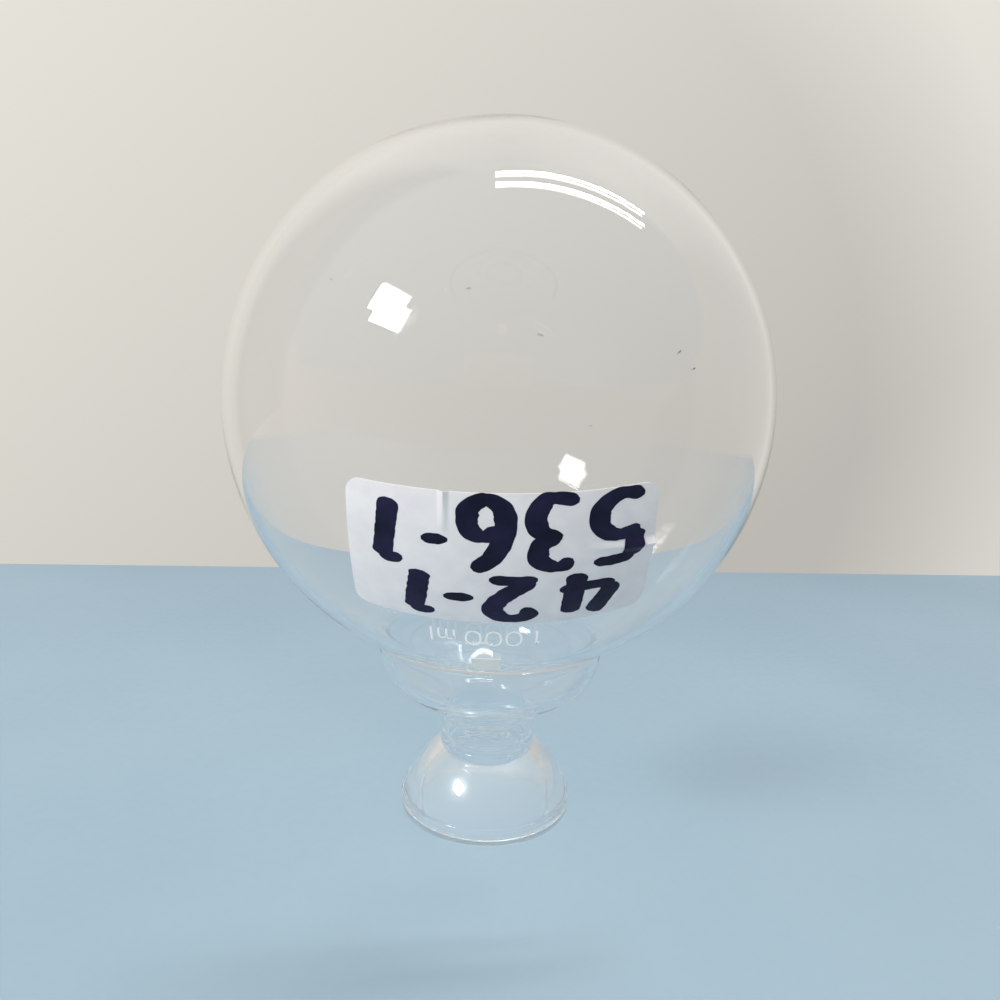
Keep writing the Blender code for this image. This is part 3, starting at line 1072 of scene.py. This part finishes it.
def edge_strength(tree):
    """How strongly the backdrop glows: a painted brightening that changes only near its edge, out
    of the camera's view.
    """
    place = tree.nodes.new("ShaderNodeTexCoord")
    away = tree.nodes.new("ShaderNodeVectorMath")
    away.operation = "DISTANCE"
    away.inputs[1].default_value = BACKDROP_MIDDLE
    flat = tree.nodes.new("ShaderNodeVectorMath")
    flat.operation = "MULTIPLY"
    flat.inputs[1].default_value = (1.0, 0.0, 1.0)
    tree.links.new(place.outputs["Object"], flat.inputs[0])
    tree.links.new(flat.outputs["Vector"], away.inputs[0])
    edge = stepped(tree, away.outputs["Value"], BACKDROP_EDGE)
    sideways = tree.nodes.new("ShaderNodeSeparateXYZ")
    tree.links.new(place.outputs["Object"], sideways.inputs["Vector"])
    side = stepped(tree, sideways.outputs["X"], BACKDROP_SIDES)
    strength = tree.nodes.new("ShaderNodeMath")
    strength.operation = "MULTIPLY_ADD"
    strength.inputs[2].default_value = 1.0
    tree.links.new(edge, strength.inputs[0])
    tree.links.new(side, strength.inputs[1])
    return strength.outputs["Value"]


# The backdrop shines by itself like a lightbox, and its gradient and edge glow are painted light.
def make_backdrop():
    backdrop, tree = new_material("glowing_backdrop")
    glow = tree.nodes.new("ShaderNodeEmission")
    output = tree.nodes.new("ShaderNodeOutputMaterial")
    shade = towards(
        tree, "Object", BACKDROP_UP, BACKDROP_SPAN, (BACKDROP_LOW, BACKDROP_HIGH)
    )
    tree.links.new(edge_strength(tree), glow.inputs["Strength"])
    tree.links.new(shade, glow.inputs["Color"])
    tree.links.new(glow.outputs["Emission"], output.inputs["Surface"])
    left = (-WALL_REACH, FLOOR_BACK_Y - FLOOR_BACK_TURN * WALL_REACH)
    right = (WALL_REACH, FLOOR_BACK_Y + FLOOR_BACK_TURN * WALL_REACH)
    corners = [(*left, 0.0), (*right, 0.0), (*right, WALL_HEIGHT), (*left, WALL_HEIGHT)]
    stage_plane("backdrop", corners, backdrop)


def make_world():
    """A soft room, paler above and behind the flask than in front."""
    world = bpy.data.worlds.new("studio")
    world.use_nodes = True
    tree = world.node_tree
    shade = towards(tree, "Generated", ROOM_UP, ROOM_SPAN, (ROOM_LOW, ROOM_HIGH))
    tree.links.new(shade, tree.nodes["Background"].inputs["Color"])
    bpy.context.scene.world = world


def add_lamp(name, centre, size, radiance, facing):
    """A rectangular soft lamp. facing is its rotation."""
    light = bpy.data.lights.new(name, "AREA")
    light.shape = "RECTANGLE"
    light.size, light.size_y = size
    light.energy = radiance * pi * size[0] * size[1]
    light.color = LAMP_COLOUR
    lamp = bpy.data.objects.new(name, light)
    lamp.location = centre
    lamp.rotation_mode = "QUATERNION"
    lamp.rotation_quaternion = facing
    bpy.context.scene.collection.objects.link(lamp)


def towards_bulb(place, roll):
    way = BULB_MIDDLE - Vector(place)
    return way.to_track_quat("-Z", "Y") @ Quaternion((0.0, 0.0, 1.0), roll)


def make_lamps():
    """Two tubes overhead, and two bright panels high on the left in front."""
    for name, centre, length, turn in (
        ("rear_tube", (0.391, 0.144, 1.305), 0.924, radians(11.1)),
        ("front_tube", (0.420, 0.013, 1.305), 0.976, radians(9.2)),
    ):
        down = Quaternion((0.0, 0.0, 1.0), turn)
        add_lamp(name, centre, (length, TUBE_WIDTH), TUBE_RADIANCE, down)
    for name, centre, size in (
        ("upper_panel", (-0.952, -0.858, 0.962), (0.34, 0.24)),
        ("lower_panel", (-0.962, -0.938, 0.864), (0.34, 0.22)),
    ):
        facing = towards_bulb(centre, PANEL_ROLL)
        add_lamp(name, centre, size, PANEL_RADIANCE, facing)


def make_camera():
    data = bpy.data.cameras.new("camera")
    data.lens = CAMERA_LENS
    data.sensor_width = CAMERA_SENSOR
    data.clip_start = CAMERA_NEAR
    camera = bpy.data.objects.new("camera", data)
    flat_right = Vector((1.0, 0.0, 0.0))
    flat_up = Vector((0.0, sin(CAMERA_PITCH), cos(CAMERA_PITCH)))
    back = Vector((0.0, -cos(CAMERA_PITCH), sin(CAMERA_PITCH)))
    right = flat_right * cos(CAMERA_LEAN) + flat_up * sin(CAMERA_LEAN)
    up = flat_up * cos(CAMERA_LEAN) - flat_right * sin(CAMERA_LEAN)
    turned_axes = Matrix((right, up, back)).transposed().to_4x4()
    camera.matrix_world = Matrix.Translation(CAMERA_PLACE) @ turned_axes
    bpy.context.scene.collection.objects.link(camera)
    bpy.context.scene.camera = camera


def set_light_paths():
    """Enough bounces for light to cross every wall, and colours shown as they are."""
    scene = bpy.context.scene
    scene.cycles.max_bounces = LIGHT_BOUNCES
    scene.cycles.transmission_bounces = LIGHT_BOUNCES
    scene.cycles.glossy_bounces = LIGHT_BOUNCES
    scene.cycles.transparent_max_bounces = LIGHT_BOUNCES
    scene.cycles.caustics_reflective = False
    scene.cycles.caustics_refractive = False
    scene.view_settings.view_transform = "Standard"


make_glass()
make_label()
make_patch()
make_marker_figures()
make_capacity_mark()
make_floor()
make_backdrop()
make_world()
make_lamps()
make_camera()
set_light_paths()
